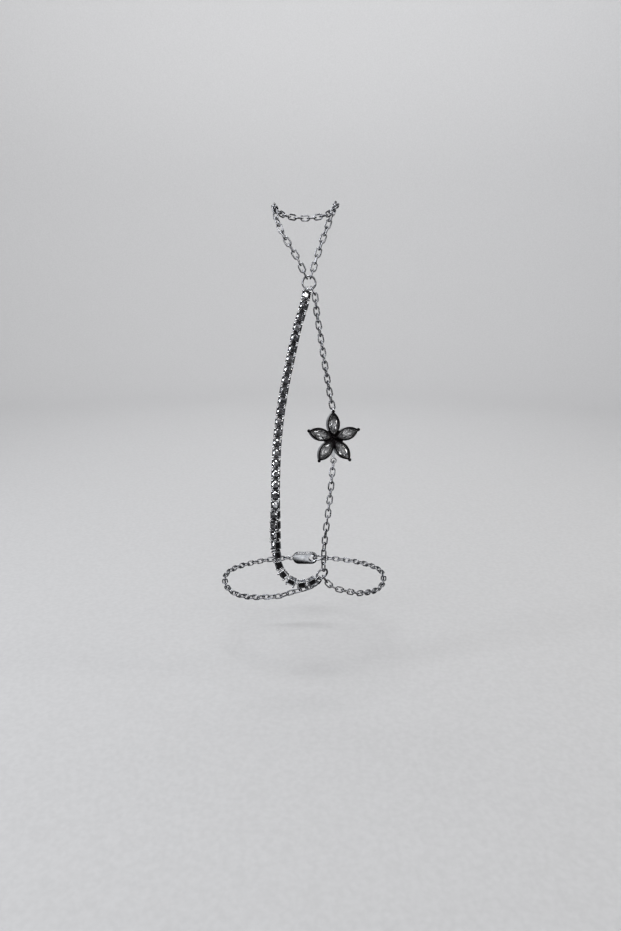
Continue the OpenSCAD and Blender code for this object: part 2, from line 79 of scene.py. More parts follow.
@dataclass
class Shape:
    """Points in millimetres and the faces between them, put together before they become a mesh.

    The tones are the finishes of the faces, where None stands for the piece's own finish.
    """

    points: Loop = field(default_factory=list)
    faces: list[tuple[int, ...]] = field(default_factory=list)
    tones: list[Finish | None] = field(default_factory=list)

    def all_tones(self) -> list[Finish | None]:
        """The finish of each face, also of those that were added without one."""
        return self.tones + [None] * (len(self.faces) - len(self.tones))

    def flipped(self) -> "Shape":
        """Turns every face over."""
        self.faces = [tuple(reversed(face)) for face in self.faces]
        return self

    def moved(self, matrix: Matrix) -> "Shape":
        """A copy of the shape, moved by a matrix."""
        return Shape().add(self, matrix)

    def add(self, other: "Shape", matrix: Matrix | None = None, tone: Finish | None = None) -> "Shape":
        """Adds another shape, moved by a matrix.

        Args:
            other: The shape that is added.
            matrix: Where it goes, or None to leave it where it is.
            tone: Its finish, or None to keep those that it has.

        Returns:
            This shape.
        """
        start = len(self.points)
        self.tones = self.all_tones() + (other.all_tones() if tone is None else [tone] * len(other.faces))
        self.points += other.points if matrix is None else [tuple(matrix @ Vector(p)) for p in other.points]
        self.faces += [tuple(i + start for i in face) for face in other.faces]
        return self

    def tone_towards(self, way: Vector, tone: Finish) -> "Shape":
        """Gives one finish to the faces that don't look away from a direction.

        Args:
            way: The direction, of length 1.
            tone: The finish.

        Returns:
            This shape.
        """
        self.tones = self.all_tones()
        for i, face in enumerate(self.faces):
            a, b, c = (Vector(self.points[k]) for k in face[:3])
            if (b - a).cross(c - a).normalized().dot(way) > AWAY:
                self.tones[i] = tone
        return self

    def mesh_object(
        self, name: str, finishes: Sequence[Finish] = (), smooth_below: float = SMOOTH_BELOW
    ) -> bpy.types.Object:
        """Makes a Blender object of the shape.

        Args:
            name: The object's name.
            finishes: Its finishes in the order of its material slots, its own one first.
            smooth_below: Edges that bend less than this many degrees are shaded smooth.

        Returns:
            The new object, linked to the scene.
        """
        mesh = bpy.data.meshes.new(name)
        mesh.from_pydata([tuple(c * MM for c in p) for p in self.points], [], self.faces)
        slots = {finish: i for i, finish in enumerate(finishes)}
        mesh.polygons.foreach_set("material_index", [slots.get(tone, 0) for tone in self.all_tones()])
        mesh.validate()
        mesh.polygons.foreach_set("use_smooth", [True] * len(mesh.polygons))
        mesh.set_sharp_from_angle(angle=math.radians(smooth_below))
        piece = bpy.data.objects.new(name, mesh)
        bpy.context.scene.collection.objects.link(piece)
        return piece


def loft(
    loops: Sequence[Loop], closed: bool = False, caps: bool = True, tones: Sequence[Finish | None] = ()
) -> Shape:
    """Skins a row of loops that all have the same number of points.

    Args:
        loops: The loops, each counter-clockwise seen against the way they go.
        closed: Whether the last loop joins the first one.
        caps: Whether flat faces close the two ends of an open skin.
        tones: The finish from each loop to the next, or nothing where it is the piece's own throughout.

    Returns:
        The skin.
    """
    n = len(loops[0])
    shape = Shape(points=[p for loop in loops for p in loop], tones=[t for t in tones for _ in range(n)])
    for r in range(len(loops) if closed else len(loops) - 1):
        a, b = r * n, (r + 1) % len(loops) * n
        for k in range(n):
            m = (k + 1) % n
            shape.faces.append((a + k, a + m, b + m, b + k))
    if caps and not closed:
        shape.faces.append(tuple(reversed(range(n))))
        shape.faces.append(tuple(range(len(shape.points) - n, len(shape.points))))
    return shape


def spun(x: float, y: float, angle: float) -> tuple[float, float]:
    """A flat point turned about the middle by an angle in radians."""
    return x * math.cos(angle) - y * math.sin(angle), x * math.sin(angle) + y * math.cos(angle)


def level(flat: Flat, z: float, x: float = 0.0, y: float = 0.0) -> Loop:
    """A flat outline at one height, moved sideways."""
    return [(x + u, y + v, z) for u, v in flat]


def circle(radius: float, count: int) -> Flat:
    """Points of a circle about the middle."""
    return [spun(radius, 0, 2 * math.pi * k / count) for k in range(count)]


def opposite(outline: Flat, middle_x: float, radius: float) -> Flat:
    """Points of a circle, each opposite one of an outline round it."""
    angles = [math.atan2(y, x - middle_x) for x, y in outline]
    return [(middle_x + radius * math.cos(a), radius * math.sin(a)) for a in angles]


def arc(centre: tuple[float, float], radius: float, first: float, last: float, steps: int) -> Flat:
    """Draws an arc.

    Args:
        centre: Its middle.
        radius: Its radius.
        first: The angle of its first point, in degrees.
        last: The angle of its last point, in degrees.
        steps: Parts that it is made of.

    Returns:
        Its points, with both ends.
    """
    angles = [math.radians(first + (last - first) * k / steps) for k in range(steps + 1)]
    return [(centre[0] + radius * math.cos(a), centre[1] + radius * math.sin(a)) for a in angles]


def rounded_outline(half_x: float, half_y: float, corner: float, steps: int = 3, edge: int = 1) -> Flat:
    """Draws a rectangle with round corners, counter-clockwise.

    Args:
        half_x: Half its width.
        half_y: Half its height.
        corner: Radius of the corners.
        steps: Parts that each corner is made of.
        edge: Points between two corners.

    Returns:
        The points of the outline.
    """
    corners: list[Flat] = []
    for q, (sx, sy) in enumerate(((1, 1), (-1, 1), (-1, -1), (1, -1))):
        centre = (sx * (half_x - corner), sy * (half_y - corner))
        corners.append(arc(centre, corner, 90 * q, 90 * q + 90, steps))
    points: Flat = []
    shares = [k / (edge + 1) for k in range(1, edge + 1)]
    for here, following in zip(corners, corners[1:] + corners[:1]):
        (ax, ay), (bx, by) = here[-1], following[0]
        points += here + [(ax + (bx - ax) * t, ay + (by - ay) * t) for t in shares]
    return points


def bent_bar(path: Flat, section: Flat) -> Shape:
    """Sweeps a section round a closed flat path.

    Args:
        path: Points of the path in its own plane, counter-clockwise.
        section: Points of the section: how far out from the path, and how far above its plane.

    Returns:
        The closed bar, with the path's plane at Z = 0.
    """
    loops: list[Loop] = []
    for i, (x, y) in enumerate(path):
        (ax, ay), (bx, by) = path[i - 1], path[(i + 1) % len(path)]
        size = math.hypot(bx - ax, by - ay)
        nx, ny = (by - ay) / size, (ax - bx) / size
        loops.append([(x + nx * u, y + ny * u, v) for u, v in section])
    return loft(loops, closed=True).flipped()


def torus(outer: float, wire: float, around: int = 64, section: int = 16) -> Shape:
    """A ring of round wire that lies flat."""
    return bent_bar(circle((outer - wire) / 2, around), circle(wire / 2, section))


# Places


def place(point: Sequence[float], along: Vector, out: Vector) -> Matrix:
    """Finds the matrix that puts a shape in its place.

    Args:
        point: Where the shape's middle goes.
        along: The way that its X goes.
        out: The way that its Z goes, as far as X leaves it free.

    Returns:
        The matrix.
    """
    x = along.normalized()
    z = (out - x * out.dot(x)).normalized()
    turned = Matrix((x, z.cross(x), z)).transposed().to_4x4()
    return Matrix.Translation(Vector(point)) @ turned


def rotated(degrees: float, axis: str) -> Matrix:
    """A turn about one axis."""
    return Matrix.Rotation(math.radians(degrees), 4, axis)


def faced(turn: float, lean: float) -> Matrix:
    """Turn of a flat piece that faces the front: first upright and leaning back, then to the right."""
    return rotated(turn, "Z") @ rotated(90 - lean, "X")


def loose_solids(node: str) -> list[np.ndarray]:
    """Finds the corner points of each loose solid of a CAD node.

    Args:
        node: The CAD node.

    Returns:
        The points of each solid, in millimetres.
    """
    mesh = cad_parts[node].data
    points = np.zeros(len(mesh.vertices) * 3)
    mesh.vertices.foreach_get("co", points)
    points = points.reshape(-1, 3) / MM
    edges = np.zeros(len(mesh.edges) * 2, int)
    mesh.edges.foreach_get("vertices", edges)
    # Corners that are the same to a ten-thousandth of a millimetre are one corner
    _, first, same = np.unique(np.round(points, 4), axis=0, return_index=True, return_inverse=True)
    edges = same.reshape(-1)[edges.reshape(-1, 2)]
    label = np.arange(len(first))
    while True:
        low = np.minimum(label[edges[:, 0]], label[edges[:, 1]])
        new = label.copy()
        np.minimum.at(new, edges[:, 0], low)
        np.minimum.at(new, edges[:, 1], low)
        new = new[new]
        if (new == label).all():
            break
        label = new
    return [points[first[label == k]] for k in np.unique(label)]


# Finishes


def linear(colour: str) -> tuple[float, float, float, float]:
    """Turns an sRGB hex colour into the linear values that Blender takes.

    Args:
        colour: The colour, such as #FFFFFF.

    Returns:
        Its red, green, blue and opacity, each from 0 to 1.
    """
    parts = [int(colour[i:i + 2], 16) / 255 for i in (1, 3, 5)]
    r, g, b = [c / 12.92 if c <= 0.04045 else ((c + 0.055) / 1.055) ** 2.4 for c in parts]
    return r, g, b, 1.0


def add_node(
    tree: bpy.types.NodeTree, kind: str, settings: dict, links: dict | None = None
) -> bpy.types.Node:
    """Adds a node with its settings and links.

    Args:
        tree: The node tree that it goes in.
        kind: Blender's name for the kind of node, without ShaderNode in front.
        settings: Values by the name or number of an input, or by the name of the node's own setting.
            The stops of a colour ramp are places with their sRGB colours.
        links: Output sockets by the name or number of the input that each one feeds.

    Returns:
        The new node.
    """
    node = tree.nodes.new(f"ShaderNode{kind}")
    for name, value in settings.items():
        if name == "stops":
            bands = node.color_ramp.elements
            for i, (at, colour) in enumerate(value):
                band = bands[i] if i < len(bands) else bands.new(at)
                band.position, band.color = at, linear(colour)
        elif isinstance(name, int) or name in node.inputs:
            node.inputs[name].default_value = value
        else:
            setattr(node, name, value)
    for name, socket in (links or {}).items():
        tree.links.new(socket, node.inputs[name])
    return node


def new_material(
    name: str, cloud_mm: float, detail: float = 3.0
) -> tuple[bpy.types.Material, partial, bpy.types.NodeSocket]:
    """Starts a material with a cloudy pattern.

    Args:
        name: The material's name.
        cloud_mm: The size of the pattern's clouds.
        detail: How far they break up into smaller ones.

    Returns:
        The material, add_node for its tree, and the pattern's value.
    """
    material = bpy.data.materials.new(name)
    material.use_nodes = True
    material.node_tree.nodes.clear()
    add = partial(add_node, material.node_tree)
    spot = add("TexCoord", {}).outputs["Object"]
    cloud = add("TexNoise", {"Scale": 1 / (cloud_mm * MM), "Detail": detail}, {"Vector": spot})
    return material, add, cloud.outputs["Fac"]


@dataclass(frozen=True)
class RhodiumPlate:
    """Polished rhodium plate over brass, tumbled bright after casting.

    It is a cool white, a little less bright in places. Tumbling leaves it mirror-like on what stands out,
    and shade is painted into its corners, so each link and prong has a dark line of painted shade round it.
    """

    name: str = "rhodium_plate_polished"
    bright: str = "#F0F1F3"
    dull: str = "#D4D5D9"
    # Colour of the shade painted into the corners
    corner_shade: str = "#171516"
    roughness: float = 0.13
    # How far out of a corner the painted shade reaches
    corner_mm: float = 0.16
    wear_mm: float = 0.9
    # Polishing scratches are a few hundredths of a millimetre wide: drawn ten times as coarse to show
    scratch_mm: float = 0.3
    scratch_depth_mm: float = 0.02

    def build(self) -> bpy.types.Material:
        """Makes the material.

        Returns:
            The material.
        """
        material, add, wear = new_material(self.name, self.wear_mm)
        tone = add("ValToRGB", {"stops": [(0.35, self.dull), (0.62, self.bright)]}, {"Fac": wear})
        # Painted shade: where ambient occlusion finds a corner, the colour is mixed towards the painted shade
        # colour
        corner = add("AmbientOcclusion", {"Distance": self.corner_mm * MM, "samples": CORNER_RAYS})
        unshaded = add("MapRange", {"From Min": 0.25, "From Max": 0.75}, {"Value": corner.outputs["AO"]})
        colour = add(
            "Mix", {"data_type": "RGBA", 6: linear(self.corner_shade)},
            {0: unshaded.outputs["Result"], 7: tone.outputs["Color"]},
        )
        spot = add("TexCoord", {}).outputs["Object"]
        scratch = add("TexNoise", {"Scale": 1 / (self.scratch_mm * MM), "Detail": 4.0}, {"Vector": spot})
        rough = add(
            "MapRange", {"To Min": self.roughness * 0.6, "To Max": self.roughness * 1.7},
            {"Value": scratch.outputs["Fac"]},
        )
        bump = add(
            "Bump", {"Strength": 0.06, "Distance": self.scratch_depth_mm * MM},
            {"Height": scratch.outputs["Fac"]},
        )
        shader = add("BsdfPrincipled", {"Metallic": 1.0}, {
            "Base Color": colour.outputs[2],
            "Roughness": rough.outputs["Result"],
            "Normal": bump.outputs["Normal"],
        })
        add("OutputMaterial", {}, {"Surface": shader.outputs["BSDF"]})
        return material


@dataclass(frozen=True)
class BlackRuthenium:
    """Black ruthenium plate on the flower's front, over satin rhodium on its sides and back.

    It is a warm near-black with a soft metal gloss. The black stops where the front turns into the
    sides, with a slightly uneven edge, because only the front was dipped.
    """

    name: str = "black_ruthenium_plate"
    black: str = "#211E20"
    side: str = "#DCDDDF"
    satin: float = 0.5
    # Colour of the shade painted into the corners of the silver sides
    corner_shade: str = "#262324"
    corner_mm: float = 0.6
    roughness: float = 0.27
    front: tuple[float, float, float] = (0.0, -1.0, 0.0)
    # The black starts and is full where the cosine to the front is this, give or take the unevenness
    edge_from: float = 0.12
    edge_to: float = 0.3
    uneven: float = 0.12
    edge_mm: float = 0.5
    grain_depth_mm: float = 0.03

    def build(self) -> bpy.types.Material:
        """Makes the material.

        Returns:
            The material.
        """
        material, add, grain = new_material(self.name, self.edge_mm)
        normal = add("NewGeometry", {}).outputs["Normal"]
        facing = add("VectorMath", {"operation": "DOT_PRODUCT", 1: self.front}, {0: normal})
        shift = add("MapRange", {"To Min": -self.uneven, "To Max": self.uneven}, {"Value": grain})
        total = add("Math", {"operation": "ADD"}, {0: facing.outputs["Value"], 1: shift.outputs["Result"]})
        dipped = add(
            "MapRange", {"From Min": self.edge_from, "From Max": self.edge_to},
            {"Value": total.outputs["Value"]},
        ).outputs["Result"]
        # Painted shade: the silver sides darken towards the painted shade colour where ambient occlusion
        # finds a corner
        corner = add("AmbientOcclusion", {"Distance": self.corner_mm * MM, "samples": CORNER_RAYS})
        unshaded = add("MapRange", {"From Min": 0.2, "From Max": 0.7}, {"Value": corner.outputs["AO"]})
        silver = add(
            "Mix", {"data_type": "RGBA", 6: linear(self.corner_shade), 7: linear(self.side)},
            {0: unshaded.outputs["Result"]},
        )
        colour = add("Mix", {"data_type": "RGBA", 7: linear(self.black)}, {0: dipped, 6: silver.outputs[2]})
        gloss = add(
            "MapRange", {"To Min": self.roughness * 0.7, "To Max": self.roughness * 1.4}, {"Value": grain}
        )
        rough = add("Mix", {2: self.satin}, {0: dipped, 3: gloss.outputs["Result"]})
        bump = add("Bump", {"Strength": 0.08, "Distance": self.grain_depth_mm * MM}, {"Height": grain})
        shader = add("BsdfPrincipled", {"Metallic": 1.0}, {
            "Base Color": colour.outputs[2],
            "Roughness": rough.outputs[0],
            "Normal": bump.outputs["Normal"],
        })
        add("OutputMaterial", {}, {"Surface": shader.outputs["BSDF"]})
        return material


@dataclass(frozen=True)
class PaintedShade:
    """Painted shade: dark matt metal set inside the boxes, round their stones and in the gaps between them.

    Its fine grain breaks up the painted shade, which stays dark and matt beside the bright posts.
    """

    name: str = "painted_shade_dark_metal"
    dark: str = "#1B1A1B"
    light: str = "#3A383A"
    roughness: float = 0.45
    grain_mm: float = 0.25
    grain_depth_mm: float = 0.03

    def build(self) -> bpy.types.Material:
        """Makes the material.

        Returns:
            The material.
        """
        material, add, grain = new_material(self.name, self.grain_mm)
        tone = add("ValToRGB", {"stops": [(0.35, self.dark), (0.7, self.light)]}, {"Fac": grain})
        bump = add("Bump", {"Strength": 0.3, "Distance": self.grain_depth_mm * MM}, {"Height": grain})
        shader = add(
            "BsdfPrincipled", {"Metallic": 1.0, "Roughness": self.roughness},
            {"Base Color": tone.outputs["Color"], "Normal": bump.outputs["Normal"]},
        )
        add("OutputMaterial", {}, {"Surface": shader.outputs["BSDF"]})
        return material


@dataclass(frozen=True)
class SilverFoil:
    """Vacuum silvering on the backs of the petal stones and inside their cups.

    It is a soft mirror that throws the light back through the stone, a little cloudy in places.
    """

    name: str = "vacuum_silvering"
    bright: str = "#CECBC9"
    cloudy: str = "#95908E"
    roughness: float = 0.3
    cloud_mm: float = 0.7

    def build(self) -> bpy.types.Material:
        """Makes the material.

        Returns:
            The material.
        """
        material, add, cloud = new_material(self.name, self.cloud_mm)
        tone = add("ValToRGB", {"stops": [(0.35, self.cloudy), (0.6, self.bright)]}, {"Fac": cloud})
        shader = add(
            "BsdfPrincipled", {"Metallic": 1.0, "Roughness": self.roughness},
            {"Base Color": tone.outputs["Color"]},
        )
        add("OutputMaterial", {}, {"Surface": shader.outputs["BSDF"]})
        return material


@dataclass(frozen=True)
class CubicZirconia:
    """Cut and polished cubic zirconia.

    It is clear and bends light strongly, so each facet is either bright or dark. A thin film of
    handling takes a little off the polish, and a share of glint stands for light from inside.
    """

    name: str = "cubic_zirconia_cut"
    body: str = "#E4E4E7"
    shade: str = "#C2C2C6"
    roughness: float = 0.015
    ior: float = 2.16
    clear: float = 1.0
    glint: float = 0.3
    film_mm: float = 0.8

    def build(self) -> bpy.types.Material:
        """Makes the material.

        Returns:
            The material.
        """
        material, add, film = new_material(self.name, self.film_mm, 2.0)
        rough = add("MapRange", {"To Min": 0.0, "To Max": 3 * self.roughness}, {"Value": film})
        tone = add("ValToRGB", {"stops": [(0.3, self.shade), (0.7, self.body)]}, {"Fac": film})
        shader = add(
            "BsdfPrincipled",
            {"IOR": self.ior, "Transmission Weight": self.clear, "Metallic": self.glint},
            {"Base Color": tone.outputs["Color"], "Roughness": rough.outputs["Result"]},
        )
        add("OutputMaterial", {}, {"Surface": shader.outputs["BSDF"]})
        return material


@dataclass(frozen=True)
class MattPaper:
    """Pale matt studio paper, calendered, with a faint tooth that breaks up its flat tone."""

    name: str = "studio_paper"
    pale: str = "#CECECF"
    shade: str = "#C8C8C9"
    roughness: float = 0.9
    tooth_mm: float = 1.5

    def build(self) -> bpy.types.Material:
        """Makes the material.

        Returns:
            The material.
        """
        material, add, tooth = new_material(self.name, self.tooth_mm, 2.0)
        tone = add("ValToRGB", {"stops": [(0.3, self.shade), (0.7, self.pale)]}, {"Fac": tooth})
        shader = add(
            "BsdfPrincipled", {"Roughness": self.roughness, "Specular IOR Level": 0.2},
            {"Base Color": tone.outputs["Color"]},
        )
        add("OutputMaterial", {}, {"Surface": shader.outputs["BSDF"]})
        return material


def dress(piece: bpy.types.Object, finishes: Sequence[Finish], palette: Palette) -> None:
    """Gives a piece its materials.

    Args:
        piece: The piece, or a CAD node that is shown as it is.
        finishes: Its finishes in the order of its material slots, its own one first.
        palette: The materials.
    """
    if piece.material_slots:
        for slot in piece.material_slots:
            slot.material = palette[finishes[0]]
    else:
        for finish in finishes:
            piece.data.materials.append(palette[finish])


def stand_for(
    shape: Shape, node: str, finishes: Sequence[Finish], palette: Palette, smooth_below: float = SMOOTH_BELOW
) -> None:
    """Makes a shape into the piece that is shown in place of a CAD node.

    Args:
        shape: The piece's shape, in the row's frame.
        node: The CAD node that it stands for.
        finishes: Its finishes in the order of its material slots, its own one first.
        palette: The materials.
        smooth_below: Edges that bend less than this many degrees are shaded smooth.
    """
    piece = shape.mesh_object(f"{node}_piece", finishes, smooth_below)
    dress(piece, finishes, palette)
    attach(piece, "root")
    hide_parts(node)
    LOG.info("%s: %d points, %d faces", piece.name, len(shape.points), len(shape.faces))


# Pieces


@dataclass
class CableChains:
    """The chains, whose links are already right in the solids and take their finish as they are."""

    nodes: tuple[str, ...] = (
        "finger_chain", "side_chain_upper", "side_chain_lower", "wrist_chain_left", "wrist_chain_right",
    )

    def build(self, palette: Palette) -> None:
        """Dresses the chains.

        Args:
            palette: The materials.
        """
        for node in self.nodes:
            dress(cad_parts[node], [Finish.METAL], palette)
            LOG.info("%s: dressed", node)


@dataclass(frozen=True)
class RingPlace:
    """Where a jump ring is: its CAD node, its middle, and its turn, its lean and its seam in degrees."""

    node: str
    at: Point
    turn: float
    lean: float
    seam: float


@dataclass
class JumpRings:
    """The jump rings: bent wire whose sawn ends meet in a fine seam. Sizes in millimetres."""

    outer: float = 4.35
    wire: float = 0.6
    seam: float = 0.05
    ease: float = 0.05
    around: int = 72
    section: int = 16
    places: tuple[RingPlace, ...] = (
        RingPlace("upper_ring", (1.1, -10.9, 95.0), turn=4.0, lean=4.0, seam=20.0),
        RingPlace("lower_ring", (5.0, -21.1, 8.8), turn=32.0, lean=-17.0, seam=30.0),
        RingPlace("clasp_ring", (4.375, 21.2, -3.4), turn=0.0, lean=90.0, seam=80.0),
    )

    def shape(self, seam_at: float) -> Shape:
        """Makes one ring, lying flat.

        Args:
            seam_at: Where its seam is, in degrees.

        Returns:
            The ring.
        """
        middle, radius = (self.outer - self.wire) / 2, self.wire / 2
        half = self.seam / 2 / middle
        first = half + self.ease / middle
        last = 2 * math.pi - first
        # Angle from the seam, and radius of the wire
        rows = [(first + (last - first) * k / self.around, radius) for k in range(self.around + 1)]
        rows = [(half, radius - self.ease), *rows, (2 * math.pi - half, radius - self.ease)]
        loops: list[Loop] = []
        for angle, size in rows:
            cut = circle(size, self.section)
            loops.append([(*spun(middle + u, 0, angle + math.radians(seam_at)), v) for u, v in cut])
        return loft(loops).flipped()

    def build(self, palette: Palette) -> None:
        """Makes the three rings.

        Args:
            palette: The materials.
        """
        for ring in self.places:
            matrix = Matrix.Translation(ring.at) @ faced(ring.turn, ring.lean)
            stand_for(self.shape(ring.seam).moved(matrix), ring.node, [Finish.METAL], palette)


@dataclass
class StoneChain:
    """The string of box settings with its round stones. Sizes in millimetres."""

    box_l: float = 2.5
    box_w: float = 2.6
    box_h: float = 1.9
    rail: float = 0.3
    bar_z: float = 0.47
    bar_bevel: float = 0.01
    taper: float = 0.15
    prong_d: float = 0.5
    prong_rise: float = 0.25
    sides: int = 14
    # A prong's bead: height over its neck, growth of its radius, and shift towards the stone
    bead: tuple[tuple[float, float, float], ...] = (
        (-0.1, 0.005, 0.03), (0.0, 0.05, 0.06), (0.11, 0.04, 0.085),
        (0.2, -0.03, 0.1), (0.27, -0.13, 0.1), (0.3, -0.2, 0.1),
    )
    post_x: float = 0.34
    post_foot: float = 0.01
    post_corner: float = 0.12
    rail_corner: float = 0.06
    loop_corner: float = 0.07
    loop_bend: float = 0.15
    # Posts, walls and eyes reach this far into what they are soldered to
    bite: float = 0.1
    seat_z: float = 1.4
    hole_r: float = 1.185
    seat_r: float = 0.72
    turn_z: float = 1.79
    overhang: float = 0.2
    ease: float = 0.04
    # The plate's top: a narrow rim, and a face that lies lower inside it, with a slope to each side
    rim: float = 0.05
    sink: float = 0.06
    slope: float = 0.02
    shadow_h: float = 0.2
    wall_t: float = 0.12
    wall_back: float = 0.02
    # Loops are wide where the cosine between a stone's axis and the front is above this, as sheets of painted
    # shade that fill the gaps between boxes
    bend_from: float = 0.45
    loop_w: float = 1.3
    bend_loop_w: float = 0.45
    end_eye_d: float = 1.6
    stone_d: float = 2.15
    girdle_z: float = 1.88
    # Shares of a stone's width: its girdle's height and its crown's height
    girdle_share: float = 0.03
    crown_share: float = 0.16
    flat_within: float = 0.01
    # Facets whose cosine to the stone's axis is above this belong to its table
    table_cos: float = 0.97
    # Shares of the facets below and above the girdle that are painted dark, a painted reflection of the dark
    # surround
    dark_below: float = 0.32
    dark_above: float = 0.1
    seed: int = 7
    # Every edge of a stone is sharp
    stone_smooth: float = 1.0

    @property
    def bar_x(self) -> float:
        """Distance from a box's middle to its end bars."""
        return (self.box_l - self.rail) / 2

    @property
    def axis_z(self) -> float:
        """Height of the end bars' axes."""
        return self.bar_z + self.rail / 2

    def collar(self) -> Shape:
        """Makes the plate under the stone: square outside, with a round seat.

        Returns:
            The plate.
        """
        half_x, half_y, corner = self.box_l / 2 + self.overhang, self.box_w / 2, self.prong_d / 2
        # Rows in the dark finish are painted shade: under the plate's edge, along the foot of its side, on
        # its sunk top and down into the stone's hole
        top, low, dark = self.box_h, self.box_h - self.sink, Finish.PAINTED_SHADE
        # Inset of the plate's outline, height, and the finish from there to the next row
        outside = (
            (self.ease, self.seat_z, dark),
            (0, self.seat_z + self.ease, dark),
            (0, self.seat_z + self.shadow_h, None),
            (0, top - self.ease, None),
            (self.ease, top, None),
            (self.rim, top, dark),
            (self.rim + self.slope, low, dark),
        )
        # Radius of the hole, height, and the finish from there to the next row
        inside = (
            (self.hole_r + self.slope, low, dark),
            (self.hole_r, low - self.slope, dark),
            (self.hole_r, self.turn_z, None),
            (self.seat_r, self.seat_z, None),
        )

        def outline(inset: float) -> Flat:
            """The plate's outline, drawn in by an amount."""
            return rounded_outline(half_x - inset, half_y - inset, corner - inset, steps=5, edge=5)

        loops = [level(outline(inset), z) for inset, z, _ in outside]
        loops += [level(opposite(outline(0), 0, radius), z) for radius, z, _ in inside]
        return loft(loops, closed=True, tones=[tone for _, _, tone in outside + inside])

    def corner(self, sx: int, sy: int) -> Shape:
        """Makes a post, which draws in below the bars, and the prong whose bead leans over the stone.

        Args:
            sx: The end that they are at, 1 or -1.
            sy: The side that they are on, 1 or -1.

        Returns:
            The post and the prong.
        """
        half_x, half_y = self.post_x / 2, self.prong_d / 2
        x, y = self.box_l / 2 - half_x, self.box_w / 2 - half_y
        # Distance from the box's middle, inset, and height
        post = (
            (x - self.taper / 2, self.ease, 0.0),
            (x - self.taper / 2 + self.post_foot, 0.0, self.ease),
            (x, 0.0, self.bar_z),
            (x, 0.0, self.seat_z + self.bite),
        )
        loops: list[Loop] = []
        for along, inset, z in post:
            cut = rounded_outline(half_x - inset, half_y - inset, self.post_corner)
            loops.append(level(cut, z, sx * along, sy * y))
        shape = loft(loops)
        prong_x, neck = self.box_l / 2 + self.overhang - half_y, self.box_h + self.prong_rise
        # Height, radius, and shift towards the stone
        prong = [(self.seat_z, half_y, 0.0), (self.box_h, half_y, 0.0)]
        prong += [(neck + rise, half_y + growth, shift / math.sqrt(2)) for rise, growth, shift in self.bead]
        return shape.add(loft([
            level(circle(radius, self.sides), z, sx * (prong_x - shift), sy * (y - shift))
            for z, radius, shift in prong
        ]))

    def end_bar(self, sx: int) -> Shape:
        """Makes the round bar that the loop of the next box holds.

        Args:
            sx: The end that it is at, 1 or -1.

        Returns:
            The bar.
        """
        radius, length, bevel = self.rail / 2, self.box_w - 2 * self.rail, self.bar_bevel
        rows = ((radius - bevel, 0), (radius, bevel), (radius, length - bevel), (radius - bevel, length))
        at = Matrix.Translation((sx * self.bar_x, length / 2, self.axis_z))
        return loft([level(circle(r, self.sides), z) for r, z in rows]).moved(at @ rotated(90, "X"))

    def side(self, sy: int) -> Shape:
        """Makes the rail along the bottom of one side, and the thin wall set back between its posts, a sheet
        that carries painted shade.

        Args:
            sy: The side, 1 or -1.

        Returns:
            The rail and the wall, whose outer face is painted shade.
        """
        half, reach = self.rail / 2, (self.box_l - self.post_x - self.taper) / 2
        y = sy * (self.box_w / 2 - half)
        section = rounded_outline(half, half, self.rail_corner)
        rail = loft([[(x, y - u, half + v) for u, v in section] for x in (-reach, reach)])
        reach, half = (self.box_l - self.post_x) / 2, self.wall_t / 2
        y = sy * (self.box_w / 2 - self.rail - self.wall_back)
        low, high = self.rail - self.bite, self.seat_z + self.bite
        corners = ((y - half, low), (y + half, low), (y + half, high), (y - half, high))
        wall = loft([[(x, v, z) for v, z in corners] for x in (-reach, reach)])
        return rail.add(wall.tone_towards(Vector((0, sy, 0)), Finish.PAINTED_SHADE))

    def box(self) -> Shape:
        """Makes one box setting without its loop: its length along X, its stone towards Z.

        Returns:
            The box.
        """
        shape = self.collar()
        for side in (-1, 1):
            shape.add(self.end_bar(side))
            shape.add(self.side(side))
            for across in (-1, 1):
                shape.add(self.corner(side, across))
        return shape

    def link_loop(self, pitch: float, width: float) -> Shape:
        """Makes the flat loop soldered to one box, round the bar of the next one.

        Args:
            pitch: Distance from this box to the next one.
            width: The loop's width.

        Returns:
            The loop, its underside level with that of the box.
        """
        start, corner_y = self.box_l / 2 + self.loop_bend, self.bar_z - self.loop_bend
        path = arc((pitch - self.bar_x, 0), self.bar_z, -90, 90, steps=16)
        path += arc((start, corner_y), self.loop_bend, 90, 180, steps=4)
        path += arc((start, -corner_y), self.loop_bend, 180, 270, steps=4)
        section = rounded_outline(self.rail / 2, width / 2, self.loop_corner)
        upright = Matrix.Translation((0, 0, self.axis_z)) @ rotated(90, "X")
        loop = bent_bar(path, section).moved(upright)
        # A wide loop is painted shade save on its underside, where it fills the gap between two boxes
        return loop.tone_towards(Vector((0, 0, 1)), Finish.PAINTED_SHADE) if width > self.bend_loop_w else loop

    def end_eye(self, side: int, turn: float) -> Shape:
        """Makes the eye of the first or the last box.

        Args:
            side: The end that it is at, 1 or -1.
            turn: Its turn about the chain, in degrees from flat.

        Returns:
            The eye.
        """
        x = side * (self.box_l / 2 + self.end_eye_d / 2 - self.bite)
        at = Matrix.Translation((x, 0, self.axis_z))
        return torus(self.end_eye_d, self.rail, around=40, section=12).moved(at @ rotated(turn, "X"))

    def stone_axes(self, points: np.ndarray) -> tuple[Vector, Vector, list[Vector]]:
        """Reads where a stone is from its corner points.

        Args:
            points: The corner points.

        Returns:
            The middle of its table, the way that it faces, and its table's corners seen from its axis.
        """
        middle = points.mean(0)
        _, axes = np.linalg.eigh(np.cov((points - middle).T))
        out = axes[:, 0]
        reach = (points - middle) @ out
        if abs(reach.min()) < reach.max():
            out, reach = -out, -reach
        tip = points[np.argmin(reach)]
        table = points[reach > reach.max() - self.flat_within]
        foot = Vector(tip) - Vector(out) * float((tip - table.mean(0)) @ out)
        return Vector(table.mean(0)), Vector(out), [Vector(p) - foot for p in table]

